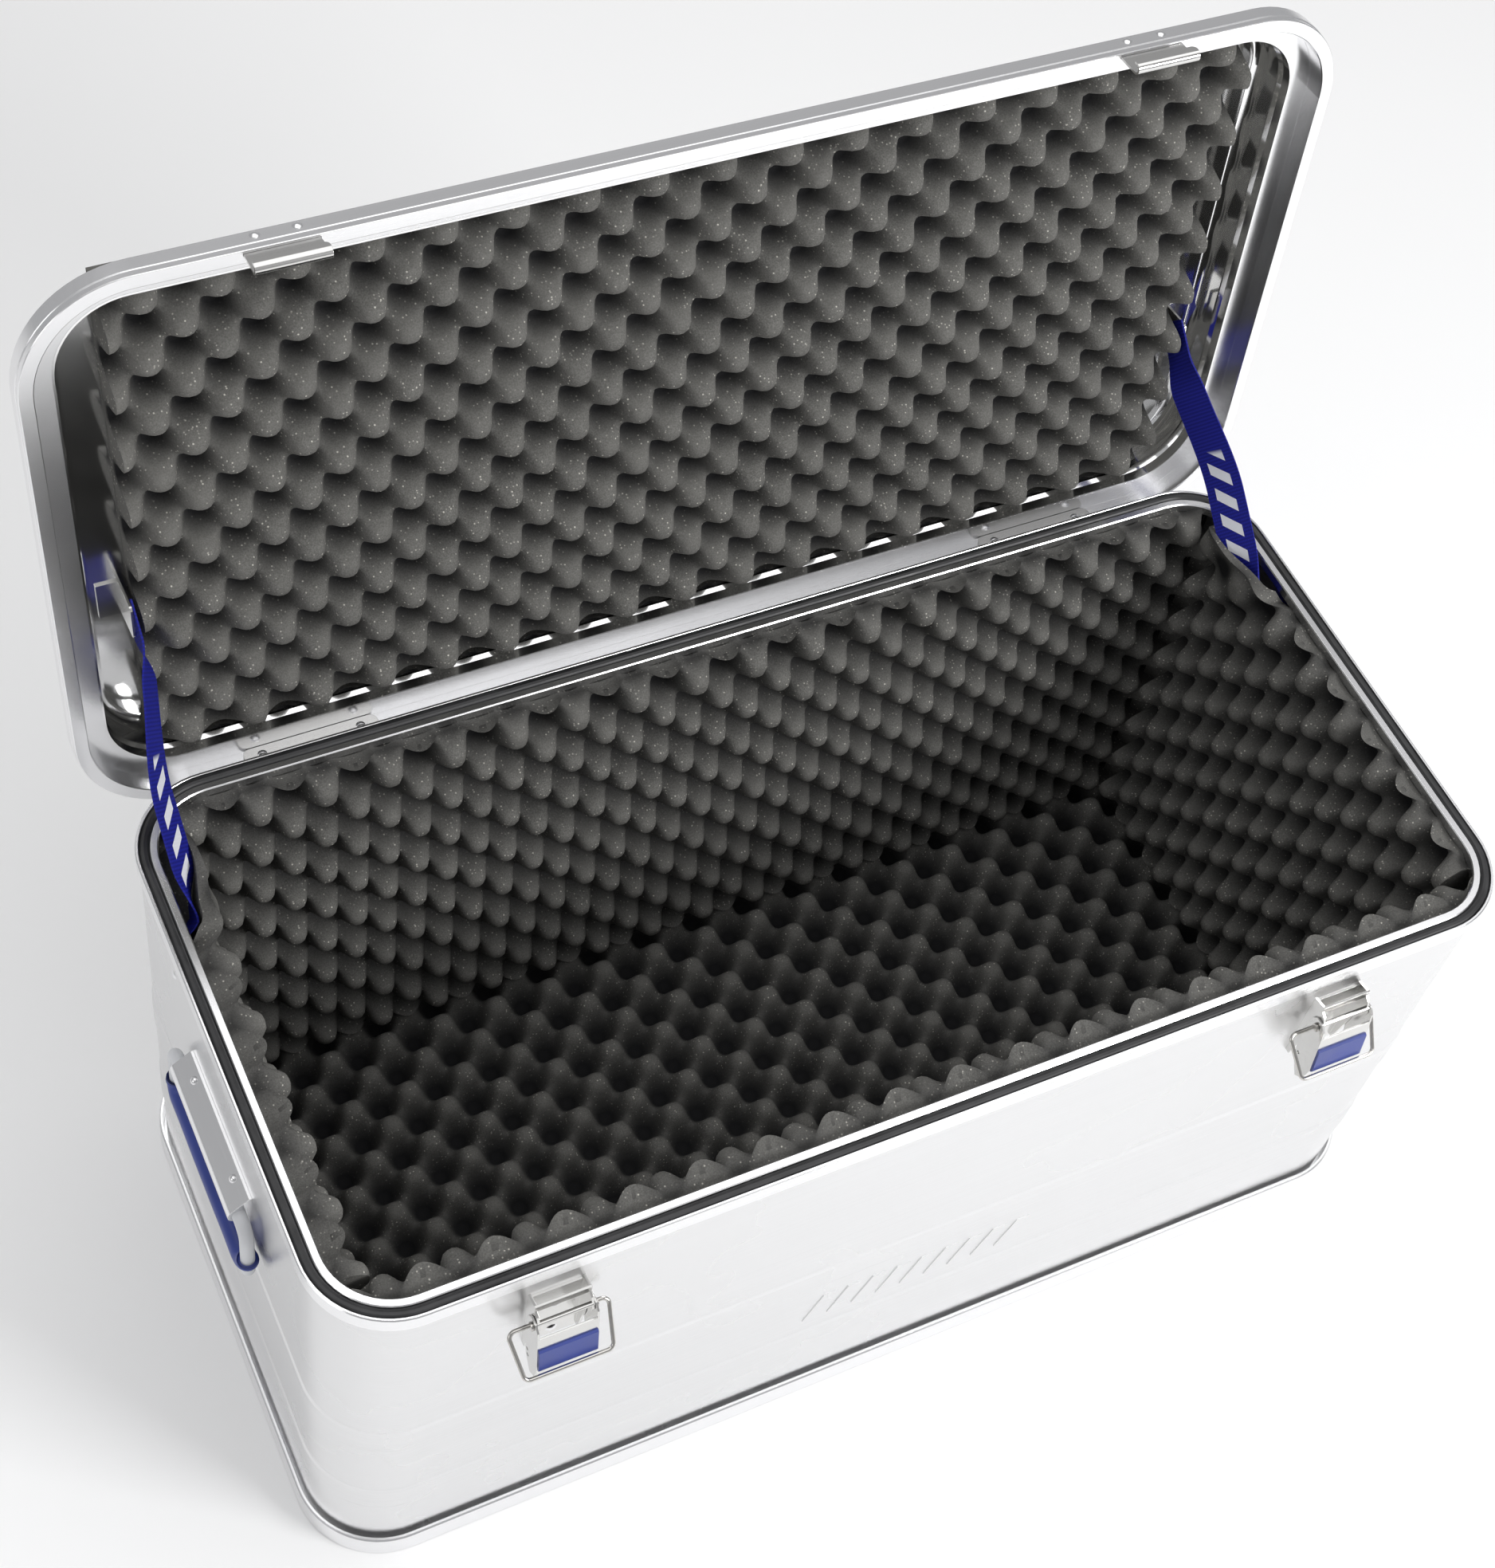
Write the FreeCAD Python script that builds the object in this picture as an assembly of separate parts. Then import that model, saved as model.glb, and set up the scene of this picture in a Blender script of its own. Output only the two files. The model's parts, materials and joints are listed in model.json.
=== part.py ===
import FreeCAD, Part
import math
import os

# Aluminium transport case with egg-crate foam, standing open.
# Millimetres. +X right, +Y back (hinge side), +Z up.
# The origin is the middle of the floor's underside.
# Everything on the lid is drawn shut and then turned open about the hinge axis.

V = FreeCAD.Vector

# ---- overall sizes ------------------------------------------------------------
body_width = 757.0          # outside of the body rim, along X
body_depth = 360.0          # outside of the body rim, along Y
body_height = 345.0         # floor underside to the top of the rim
body_corner = 52.0          # outside corner radius of the rim, seen from above
lid_overhang = 12.5         # how far the lid rim stands outside the body rim
lid_setback = 1.0           # the lid sits this much further back than the body
lid_skirt = 12.0            # how far the lid rim reaches down over the body rim
lid_depth_inside = 30.2     # hollow of the lid above the body rim
lid_open_angle = 96.2       # angle at which the straps stop the lid

# ---- sheets and profiles ------------------------------------------------------
wall = 1.2                  # wall and lid sheet
floor_thickness = 1.5
wall_inset = 2.0            # wall face inside the rim's outer face
band_proud = 0.9            # raised bands round the body
band_slope = 3.0
band_rise = (68.0, 96.0)    # lower band, up from the floor
band_drop = (185.0, 159.0)  # upper band, down from the rim top
emblem_bars = 9             # slanted bars pressed into the front
emblem_height = 30.0
emblem_bar_width = 9.0
emblem_pitch = 17.0
emblem_lean = 10.0
emblem_proud = 0.6

rim_skirt = 12.0
rim_wall = 2.0
rim_width = 13.0
rim_lip = 5.0
channel_depth = 5.0
channel_floor = 1.5
gasket_crown = 0.5

base_height = 21.0
base_gap = 2.2              # dark gap between the base profile and the wall
base_wall = 2.4
base_web = 2.5

lid_rim_face = 8.5          # width of the lid rim's open edge
lid_rim_wall = 1.6
lid_rim_step = 4.5
rim_step = 0.4              # the lower part of the rim's face stands back this much
lid_ledge = 21.0            # lid rim's outer face to the lid tray's wall
lid_ledge_thickness = 1.5
lid_seal_gap = 0.3          # lid ledge above the gasket when shut
lid_edge_radius = 9.0
lid_bead_inset = 70.0
lid_bead_width = 12.0
lid_bead_height = 1.5
lid_step_bead = 1.4         # bead round the inside of the lid wall
lid_step_rise = 8.0         # that bead above the lid's ledge

# ---- foam ---------------------------------------------------------------------
foam_thickness = 32.0
floor_foam_thickness = 31.0
foam_gap = 0.5
foam_top_gap = 1.0
lid_foam_width = 680.0
lid_foam_thickness = 29.8

# ---- hinges -------------------------------------------------------------------
hinge_place = 251.0
hinge_width = 84.0
hinge_drop = 24.5           # hinge axis below the top of the rim
hinge_leaf = 1.6
hinge_knuckles = 5
knuckle_radius = 2.8
knuckle_gap = 0.4
knuckle_side_gap = 0.15     # each end of a knuckle stands back this much from the next
leaf_corner = 8.0
hinge_pin_radius = 1.5
running_gap = 0.05          # radial gap of a pin in its bore
hinge_leaf_height = 30.0
hinge_rivet_inset = 14.0    # rivets in from the leaf's ends

# ---- latches ------------------------------------------------------------------
# Profiles are (forward or back, up or down) from the lever's pivot; forward is negative.
latch_place = 252.0
bracket_half_width = 16.5
bracket_sheet = 1.5
bracket_foot = 47.0         # bottom of the bracket below the lever's pivot
bracket_foot_out = 3.5
bracket_cheek = ((4.5, -20.0), (3.4, -4.0), (-2.4, -3.8), (-3.6, 1.0), (-0.5, 9.5), (2.7, 12.0))
bracket_top_in = 2.7        # top strip stands behind the lid's hook when shut
bracket_top_slope = 2.0
bracket_strip = (1.4, 5.5)  # thickness and height of the top strip
bracket_cross = (-1.9, 4.4)
bracket_cross_radius = 1.2
bracket_rivet_drop = (8.0, 40.0)
lever_half_width = 18.0
lever_sheet = 1.2
lever_crown = ((6.0, 2.0), (2.6, 6.0), (-2.6, 6.0), (-6.4, 2.0))
lever_face = ((-7.5, -4.0), (-11.5, -35.0))
lever_toe = (-9.5, -47.0)
lever_tail = ((-4.0, -52.0), (3.0, -41.0), (8.0, -18.0))
lever_toe_open = 0.4        # inside of the toe bend above its outside
lever_lightening = ((2.0, -34.0), (0.6, -39.0))
lever_lightening_radius = 1.2
insert_drop = 10.5          # top of the blue insert below the top of the lever's face
insert_proud = 1.6
insert_chamfer = 0.8
insert_foot = (0.5, 1.5, 0.2)       # end below the face, start of its slope, thickness there
insert_side_gap = 0.6
pin_head_length = 1.1
pin_side_gap = 0.3
bail_stand_off = 0.8        # bail wire in front of the insert
bail_side_gap = 0.1
latch_top = 26.0            # top of the bracket below the rim top
lever_pivot_out = 12.0      # lever pivot in front of the wall
lever_pivot_drop = 42.0     # lever pivot below the rim top
lever_pin_radius = 1.5
lever_pin_head = 2.7
bail_pivot_in = 5.5         # bail pivot behind and below the lever pivot
bail_pivot_drop = 12.5
bail_wire_radius = 1.3
bail_shoulder = 29.6
bail_foot = 26.0
bail_reach = 30.2
bail_bend = 4.0
hook_width = 40.0
hook_sheet = 1.5
hook_groove = 2.0
hook_lip = 3.6
hook_drop = 26.5            # middle of the curl below the rim top, lid shut
hook_gap = 0.15             # play of the plate in the rim's hollow and slot

# ---- handles ------------------------------------------------------------------
handle_out = 8.0            # handle pivot outside the wall
handle_drop = 90.0          # handle pivot below the rim top
handle_bracket_length = 100.0
handle_bar_radius = 4.2
handle_tube_radius = 6.6
handle_half_span = 62.0
handle_hang = 47.0          # pivot to the middle of the grip
handle_bend = 10.0
grip_radius = 7.0
grip_half_length = 71.0
bracket_rise = 13.5         # top of the bracket above the pivot
bracket_drop = 14.0
bracket_top_out = 1.8
bracket_tail_out = 2.0
bracket_shoulder = (3.0, 5.9)       # outside and above the pivot
collar_thickness = 1.6      # blue collars up the two legs of the bar
collar_length = 13.0

# ---- straps -------------------------------------------------------------------
strap_width = 25.0
strap_thickness = 1.4
strap_body_forward = 103.2  # lower rivet forward of the hinge axis
strap_body_drop = 37.0
strap_rim_forward = (81.2, 29.2)    # the strap is furthest in between these
strap_corner_gap = 2.6      # clear of the rim's round corner
strap_wall_gap = 0.1
strap_lid_forward = 120.0   # upper rivet forward of the hinge axis, lid shut
strap_lid_rise = 13.0
strap_lid_inset = 24.7      # strap stands in from the lid's side wall there
strap_tab_sheet = 1.5       # angle tab on the lid's ceiling that takes the upper rivet
strap_tab_drop = 7.0        # tab reaches this far below the rivet
strap_tab_foot = 14.0
strap_tab_gap = 0.1
strap_lid_tail = 9.0        # webbing past the upper rivet

# ---- rivets -------------------------------------------------------------------
rivet_head = 3.4
rivet_dome = 1.3
small_rivet_head = 2.8
small_rivet_dome = 1.0
strap_rivet_head = 4.5
hook_rivet_spread = 11.0    # each side of the hook's middle
handle_rivet_head = 2.6
handle_rivet_dome = 1.8
handle_rivet_spread = 33.0

# ---- values that follow -------------------------------------------------------
wall_x = body_width / 2 - wall_inset
wall_y = body_depth / 2 - wall_inset
inside_x = wall_x - wall
inside_y = wall_y - wall
rim_top = body_height
band_levels = (band_rise, tuple(rim_top - drop for drop in band_drop))
emblem_level = (band_levels[0][1] + band_levels[1][0] - emblem_height) / 2
channel_base = rim_top - channel_depth
wall_top = channel_base - channel_floor
lid_width = body_width + 2 * lid_overhang
lid_depth = body_depth + 2 * lid_overhang
lid_corner = body_corner + lid_overhang
lid_rim_bottom = rim_top - lid_skirt
gasket_top = rim_top + gasket_crown
ledge_bottom = gasket_top + lid_seal_gap
ledge_top = ledge_bottom + lid_ledge_thickness
lid_ceiling = ledge_bottom + lid_depth_inside
tray_x = lid_width / 2 - lid_ledge
tray_y = lid_depth / 2 - lid_ledge
hinge_y = wall_y + knuckle_gap + knuckle_radius
hinge_z = rim_top - hinge_drop
knuckle_pitch = hinge_width / hinge_knuckles
strap_body_y = hinge_y - strap_body_forward
strap_rim_y = tuple(hinge_y - forward for forward in strap_rim_forward)
strap_lid_y = hinge_y - strap_lid_forward


def union(shapes):
    joined = shapes[0].multiFuse(shapes[1:])
    return joined.removeSplitter()


def outline(half_x, half_y, radius, z, y_shift=0.0):
    """Rounded rectangle, starting in the middle of the front side."""
    c = radius * (1 - math.sqrt(0.5))
    x, y, r = half_x, half_y, radius
    corners = (
        ((x - r, -y), (x - c, -y + c), (x, -y + r)),
        ((x, y - r), (x - c, y - c), (x - r, y)),
        ((-x + r, y), (-x + c, y - c), (-x, y - r)),
        ((-x, -y + r), (-x + c, -y + c), (-x + r, -y)),
    )
    edges = []
    last = V(0, -y + y_shift, z)
    for corner in corners:
        start, middle, end = [V(px, py + y_shift, z) for px, py in corner]
        edges.append(Part.LineSegment(last, start).toShape())
        edges.append(Part.Arc(start, middle, end).toShape())
        last = end
    edges.append(Part.LineSegment(last, V(0, -y + y_shift, z)).toShape())
    return Part.Wire(edges)


def prism(half_x, half_y, radius, z0, z1, y_shift=0.0):
    face = Part.Face(outline(half_x, half_y, radius, z0, y_shift))
    return face.extrude(V(0, 0, z1 - z0))


def band(points, half_x, half_y, radius, y_shift=0.0):
    """Profile swept round the case; points are (outward from the outline, height)."""
    path = outline(half_x, half_y, radius, 0.0, y_shift)
    corners = [V(0, -half_y - out + y_shift, z) for out, z in points]
    section = Part.makePolygon(corners + [corners[0]])
    return path.makePipeShell([section], True, False)


def body_band(points):
    return band(points, body_width / 2, body_depth / 2, body_corner)


def lid_band(points):
    return band(points, lid_width / 2, lid_depth / 2, lid_corner, lid_setback)


def box(x0, x1, y0, y1, z0, z1):
    return Part.makeBox(x1 - x0, y1 - y0, z1 - z0, V(x0, y0, z0))


def plate_yz(points, x0, x1):
    """Outline in the YZ plane, extruded along X."""
    corners = [V(x0, y, z) for y, z in points]
    face = Part.Face(Part.makePolygon(corners + [corners[0]]))
    return face.extrude(V(x1 - x0, 0, 0))


def rod_x(x0, x1, y, z, radius):
    return Part.makeCylinder(radius, x1 - x0, V(x0, y, z), V(1, 0, 0))


def rivet(place, outward, radius=rivet_head, height=rivet_dome):
    """Domed rivet head standing on a surface."""
    ball = (radius ** 2 + height ** 2) / (2 * height)
    half_angle = math.asin(radius / ball) / 2
    edge = V(radius, 0, 0)
    middle = V(ball * math.sin(half_angle), 0, height - ball + ball * math.cos(half_angle))
    peak = V(0, 0, height)
    outline_edges = [
        Part.LineSegment(V(0, 0, 0), edge).toShape(),
        Part.Arc(edge, middle, peak).toShape(),
        Part.LineSegment(peak, V(0, 0, 0)).toShape(),
    ]
    head = Part.Face(Part.Wire(outline_edges)).revolve(V(0, 0, 0), V(0, 0, 1), 360)
    head.Placement = FreeCAD.Placement(V(*place), FreeCAD.Rotation(V(0, 0, 1), V(*outward)))
    return head


def mirrored(shape):
    return shape.mirror(V(0, 0, 0), V(1, 0, 0))


def opened(shape):
    turned = shape.copy()
    turned.rotate(V(0, hinge_y, hinge_z), V(1, 0, 0), -lid_open_angle)
    return turned


# ---- body ---------------------------------------------------------------------
def make_wall_sheet():
    levels = [(0.0, floor_thickness)]
    for low, high in band_levels:
        levels += [(0.0, low), (band_proud, low + band_slope)]
        levels += [(band_proud, high - band_slope), (0.0, high)]
    levels.append((0.0, wall_top))
    outer = [(-wall_inset + out, z) for out, z in levels]
    inner = [(-wall_inset - wall + out, z) for out, z in reversed(levels)]
    sheet = body_band(outer + inner)
    bars = []
    for index in range(emblem_bars):
        x = (index - (emblem_bars - 1) / 2) * emblem_pitch - emblem_lean / 2
        corners = (
            (x, 0), (x + emblem_bar_width, 0),
            (x + emblem_bar_width + emblem_lean, emblem_height), (x + emblem_lean, emblem_height),
        )
        points = [V(px, -wall_y + wall / 2, emblem_level + pz) for px, pz in corners]
        face = Part.Face(Part.makePolygon(points + [points[0]]))
        bars.append(face.extrude(V(0, -wall / 2 - emblem_proud, 0)))
    return union([sheet] + bars)


def make_floor_sheet():
    reach = base_gap
    return prism(wall_x + reach, wall_y + reach, body_corner - wall_inset + reach, 0.0, floor_thickness)


def make_base_profile():
    inner = -wall_inset + base_gap
    outer = inner + base_wall
    section = [
        (inner, 0.0), (outer, 0.0), (outer, base_height - 1.0), (outer - 1.0, base_height),
        (inner, base_height), (inner, floor_thickness + base_web),
        (-wall_inset, floor_thickness + base_web), (-wall_inset, floor_thickness),
        (inner, floor_thickness),
    ]
    return body_band(section)


def make_rim_profile():
    lip_in = -rim_width
    lip_out = -rim_width + rim_lip
    round_off = 0.7
    section = [
        (0.0, rim_top - rim_skirt), (0.0, rim_top - round_off), (-round_off, rim_top),
        (-rim_wall + 0.3, rim_top), (-rim_wall, rim_top - 0.3), (-rim_wall, channel_base),
        (lip_out, channel_base), (lip_out, rim_top - round_off), (lip_out - round_off, rim_top),
        (lip_in + round_off, rim_top), (lip_in, rim_top - round_off), (lip_in, wall_top),
        (-rim_wall, wall_top), (-rim_wall, rim_top - rim_skirt),
    ]
    return body_band(section)


def make_gasket():
    left = -rim_width + rim_lip
    right = -rim_wall
    shoulder = rim_top - 1.6
    quarter = (right - left) / 4
    section = [
        (right, channel_base), (right, shoulder), (right - quarter, gasket_top - 0.4),
        (right - 2 * quarter, gasket_top), (left + quarter, gasket_top - 0.4),
        (left, shoulder), (left, channel_base),
    ]
    return body_band(section)


# ---- foam ---------------------------------------------------------------------
foam_x = inside_x - foam_gap
foam_y = inside_y - foam_gap
foam_top = wall_top - foam_top_gap
wall_foam_bottom = floor_thickness + floor_foam_thickness + foam_gap


def foam_block(x0, x1, y0, y1):
    inside = prism(foam_x, foam_y, body_corner - wall_inset - wall - foam_gap,
                   wall_foam_bottom, foam_top)
    return box(x0, x1, y0, y1, wall_foam_bottom, foam_top).common(inside)


def make_floor_foam():
    radius = body_corner - wall_inset - wall - foam_gap
    bottom = floor_thickness + foam_gap / 5
    return prism(foam_x, foam_y, radius, bottom, floor_thickness + floor_foam_thickness)


def make_side_foam(side):
    """Side pad with a slot at its back where the strap runs down to its rivet."""
    y_end = foam_y - foam_thickness - foam_gap
    x0 = -foam_x
    x1 = -foam_x + foam_thickness
    pad = foam_block(x0, x1, -y_end, y_end)
    slot_back = strap_rim_y[1] + strap_width
    slot = box(-inside_x, strap_rim_x() + strap_thickness + 1.0, strap_body_y - strap_width,
               slot_back, strap_body_z() - strap_width, rim_top)
    pad = pad.cut(slot)
    return mirrored(pad) if side > 0 else pad


def make_end_foam(side):
    """Front or back pad, cut clear of the strap at its ends."""
    y0 = foam_y - foam_thickness
    pad = foam_block(-foam_x, foam_x, y0, foam_y)
    if side > 0:
        slot_x = -strap_rim_x() - strap_thickness - 1.0
        slot = box(slot_x, inside_x, y0 - 1.0, strap_rim_y[1] + strap_width,
                   strap_body_z() - strap_width, rim_top)
        return pad.cut(slot).cut(mirrored(slot))
    return pad.mirror(V(0, 0, 0), V(0, 1, 0))


def make_lid_foam():
    inset = wall + lid_step_bead + foam_gap
    half_y = tray_y - inset
    half_x = lid_foam_width / 2
    z1 = lid_ceiling - foam_gap / 2
    z0 = z1 - lid_foam_thickness
    hollow = rounded_tray(tray_x - inset, half_y, lid_corner - lid_ledge - inset, z0, z1, lid_edge_radius)
    return box(-half_x, half_x, lid_setback - half_y, lid_setback + half_y, z0, z1).common(hollow)


# ---- lid ----------------------------------------------------------------------
def make_lid_rim():
    low = lid_rim_bottom
    t = lid_rim_wall
    step = rim_step
    section = [
        (-0.8, low), (-lid_rim_face + 0.5, low), (-lid_rim_face, low + 0.5),
        (-lid_rim_face, ledge_bottom), (-lid_ledge, ledge_bottom), (-lid_ledge, ledge_top),
        (-1.0, ledge_top), (0.0, ledge_top - 1.0), (0.0, low + lid_rim_step),
        (-step, low + lid_rim_step - step), (-step, low + 0.4),
    ]
    hollow = [
        (-t - step, low + t), (-lid_rim_face + t, low + t),
        (-lid_rim_face + t, ledge_bottom), (-t - step, ledge_bottom),
    ]
    rim = lid_band(section).cut(lid_band(hollow))
    front = hook_plate_y()
    half = hook_width / 2 + hook_gap
    back = front + hook_sheet
    for x in (-latch_place, latch_place):
        slot = box(x - half, x + half, front - hook_gap, back + hook_gap, low - t, low + 2 * t)
        rim = rim.cut(slot)
    return rim


def rounded_tray(half_x, half_y, radius, z0, z1, edge):
    block = prism(half_x, half_y, radius, z0, z1, lid_setback)
    rims = [e for e in block.Edges if abs(e.BoundBox.ZMin - z1) < 1e-6]
    return block.makeFillet(edge, rims)


def make_lid_tray():
    top = lid_ceiling + wall
    radius = lid_corner - lid_ledge
    outer = rounded_tray(tray_x, tray_y, radius, ledge_bottom, top, lid_edge_radius)
    inner = rounded_tray(tray_x - wall, tray_y - wall, radius - wall, ledge_bottom - 1.0, lid_ceiling,
                         lid_edge_radius - wall)
    bead_x = tray_x - lid_bead_inset
    bead_y = tray_y - lid_bead_inset
    corner = radius / 2
    half = lid_bead_width / 2
    slope = lid_bead_height

    def bead(z, spread):
        section = [(-half - spread, z), (half + spread, z),
                   (half - slope + spread, z + lid_bead_height), (-half + slope - spread, z + lid_bead_height)]
        return band(section, bead_x, bead_y, corner, lid_setback)

    step_z = ledge_top + lid_step_rise
    ridge = lid_step_bead
    rib = band([(0.0, step_z - 2 * ridge), (0.0, step_z + 2 * ridge), (-ridge, step_z)],
               tray_x - wall, tray_y - wall, radius - wall, lid_setback)
    shell = outer.cut(inner)
    shell = shell.fuse([bead(top, 0.0), rib])
    return shell.cut(bead(lid_ceiling, -0.2)).removeSplitter()


# ---- hinges -------------------------------------------------------------------
def hinge_segments(first):
    edges = []
    start = -hinge_width / 2
    for index in range(first, hinge_knuckles, 2):
        x0 = start + index * knuckle_pitch + knuckle_side_gap * (index > 0)
        x1 = start + (index + 1) * knuckle_pitch - knuckle_side_gap * (index < hinge_knuckles - 1)
        edges.append((x0, x1))
    return edges


def make_hinge_leaf_body():
    leaf = box(-hinge_width / 2, hinge_width / 2, wall_y, wall_y + hinge_leaf,
               hinge_z - hinge_leaf_height, hinge_z)
    upright = [e for e in leaf.Edges if e.BoundBox.ZMax < hinge_z - hinge_leaf_height + 0.01
               and e.BoundBox.YLength > 0.5 and e.BoundBox.XLength < 0.1]
    leaf = leaf.makeFillet(leaf_corner, upright)
    relief = knuckle_radius + knuckle_gap
    for x0, x1 in hinge_segments(1):
        leaf = leaf.cut(box(x0 - 2 * knuckle_side_gap, x1 + 2 * knuckle_side_gap, wall_y - relief,
                            hinge_y + relief, hinge_z - relief, hinge_z + relief))
    parts = [leaf]
    parts += [rod_x(x0, x1, hinge_y, hinge_z, knuckle_radius) for x0, x1 in hinge_segments(0)]
    bore = rod_x(-hinge_width, hinge_width, hinge_y, hinge_z, hinge_pin_radius + running_gap)
    return union(parts).cut(bore)


def lid_skirt_inner_y():
    return lid_setback + lid_depth / 2 - lid_rim_face


def make_hinge_leaf_lid():
    y1 = lid_skirt_inner_y()
    y0 = y1 - hinge_leaf
    relief = knuckle_radius + knuckle_gap
    web = box(-hinge_width / 2, hinge_width / 2, y0, y1, hinge_z + relief, ledge_bottom - 0.3)
    ends = [e for e in web.Edges if e.BoundBox.YLength > 0.5 and e.BoundBox.XLength < 0.1
            and e.BoundBox.ZMin > ledge_bottom - 0.5]
    web = web.makeFillet(5.0, ends)
    parts = [web]
    for x0, x1 in hinge_segments(1):
        parts.append(rod_x(x0, x1, hinge_y, hinge_z, knuckle_radius))
        parts.append(box(x0, x1, hinge_y + hinge_pin_radius, y1, hinge_z, hinge_z + relief))
    bore = rod_x(-hinge_width, hinge_width, hinge_y, hinge_z, hinge_pin_radius + running_gap)
    return union(parts).cut(bore)


def make_hinge_pin():
    return rod_x(-hinge_width / 2, hinge_width / 2, hinge_y, hinge_z, hinge_pin_radius)


# ---- latches ------------------------------------------------------------------
lever_y = -wall_y - lever_pivot_out
lever_z = rim_top - lever_pivot_drop
bail_y = lever_y + bail_pivot_in
bail_z = lever_z - bail_pivot_drop


def from_pivot(offset):
    return (lever_y + offset[0], lever_z + offset[1])


front_top = from_pivot(lever_face[0])
front_low = from_pivot(lever_face[1])


def front_y(z):
    """Face of the lever's front plate at a height."""
    share = (front_top[1] - z) / (front_top[1] - front_low[1])
    return front_top[0] + share * (front_low[0] - front_top[0])


def make_latch_bracket():
    top = rim_top - latch_top
    low = lever_z - bracket_foot
    strip_front = lever_y + bracket_top_in
    strip_thickness, strip_height = bracket_strip
    cheek_outline = [(-wall_y, low), (-wall_y - bracket_foot_out, low)]
    cheek_outline += [from_pivot(offset) for offset in bracket_cheek]
    cheek_outline += [(strip_front, top), (-wall_y, top - bracket_top_slope)]
    half = bracket_half_width
    sheet = bracket_sheet
    back = box(-half, half, -wall_y - sheet, -wall_y, low, top - 2 * bracket_top_slope)
    cheeks = [plate_yz(cheek_outline, side * half - sheet * (side > 0), side * half + sheet * (side < 0))
              for side in (-1, 1)]
    strip = box(-half, half, strip_front, strip_front + strip_thickness, top - strip_height, top)
    cross = rod_x(-half, half, *from_pivot(bracket_cross), bracket_cross_radius)
    bracket = union([back, strip, cross] + cheeks)
    return bracket.cut(rod_x(-half - 1, half + 1, lever_y, lever_z, lever_pin_radius + running_gap))


def make_latch_lever():
    half = lever_half_width
    t = lever_sheet
    toe = from_pivot(lever_toe)
    tail = [from_pivot(offset) for offset in lever_tail]
    side = [from_pivot(offset) for offset in lever_crown] + [front_top, front_low, toe] + tail
    inside = toe[0] + t
    far = lever_y + lever_pivot_out + t
    above = lever_z + lever_pivot_out
    below = tail[0][1] - lever_sheet
    hollow = [
        (far, above), (front_top[0] - 4 * t, above), (front_top[0] - 4 * t, front_top[1]),
        (front_top[0] + t, front_top[1]), (front_low[0] + t, front_low[1]),
        (inside, toe[1] + lever_toe_open), (inside, below), (far, below),
    ]
    lever = plate_yz(side, -half, half).cut(plate_yz(hollow, -half + t, half - t))
    holes = [
        rod_x(-half - 1, half + 1, lever_y, lever_z, lever_pin_radius + running_gap),
        rod_x(-half - 1, half + 1, bail_y, bail_z, bail_wire_radius + running_gap),
    ]
    holes += [rod_x(-half - 1, half + 1, *from_pivot(offset), lever_lightening_radius)
              for offset in lever_lightening]
    return lever.cut(holes)


def make_latch_insert():
    below, slope, edge = insert_foot
    upper = front_top[1] - insert_drop
    lower = front_low[1] - below
    bend = front_low[1] + slope
    points = [
        (front_y(upper), upper), (front_y(upper) - insert_proud, upper - insert_chamfer),
        (front_y(bend) - insert_proud, bend), (front_y(lower) - edge, lower),
        (front_low[0], front_low[1]),
    ]
    half = lever_half_width - insert_side_gap
    return plate_yz(points, -half, half)


def make_lever_pin():
    half = lever_half_width + pin_side_gap
    end = half + pin_head_length
    pin = rod_x(-half, half, lever_y, lever_z, lever_pin_radius)
    heads = [rod_x(-end, -half, lever_y, lever_z, lever_pin_head),
             rod_x(half, end, lever_y, lever_z, lever_pin_head)]
    return union([pin] + heads)


def filleted_path(points, radius):
    """Straight runs joined by tangent arcs of one radius."""
    edges = []
    last = points[0]
    for before, corner, after in zip(points, points[1:], points[2:]):
        a = (before - corner).normalize()
        b = (after - corner).normalize()
        half_angle = a.getAngle(b) / 2
        trim = radius / math.tan(half_angle)
        start = corner + a * trim
        end = corner + b * trim
        bisector = (a + b).normalize()
        centre = corner + bisector * (radius / math.sin(half_angle))
        middle = centre - bisector * radius
        edges.append(Part.LineSegment(last, start).toShape())
        edges.append(Part.Arc(start, middle, end).toShape())
        last = end
    edges.append(Part.LineSegment(last, points[-1]).toShape())
    return Part.Wire(edges)


def wire_rod(points, bend, radius):
    path = filleted_path(points, bend)
    section = Part.Wire(Part.makeCircle(radius, points[0], points[1] - points[0]))
    return path.makePipeShell([section], True, False)


def make_bail():
    stand_off = front_y(front_low[1]) - insert_proud - bail_wire_radius - bail_stand_off
    out = stand_off - bail_y
    down = -math.sqrt(bail_reach ** 2 - out ** 2)
    inner = lever_half_width - lever_sheet + bail_side_gap
    foot = V(0, bail_y + out, bail_z + down)
    hip = V(0, bail_y, bail_z)
    points = [
        V(-inner, 0, 0) + hip, V(-bail_shoulder, 0, 0) + hip, V(-bail_foot, 0, 0) + foot,
        V(bail_foot, 0, 0) + foot, V(bail_shoulder, 0, 0) + hip, V(inner, 0, 0) + hip,
    ]
    return wire_rod(points, bail_bend, bail_wire_radius)


def make_latch_rivets():
    heads = [rivet((0, -wall_y - bracket_sheet, lever_z - drop), (0, -1, 0))
             for drop in bracket_rivet_drop]
    return Part.makeCompound(heads)


def hook_plate_y():
    """Front face of the hook's plate, inside the lid rim's hollow."""
    return lid_setback - lid_depth / 2 + lid_rim_wall + rim_step + hook_gap


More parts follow.
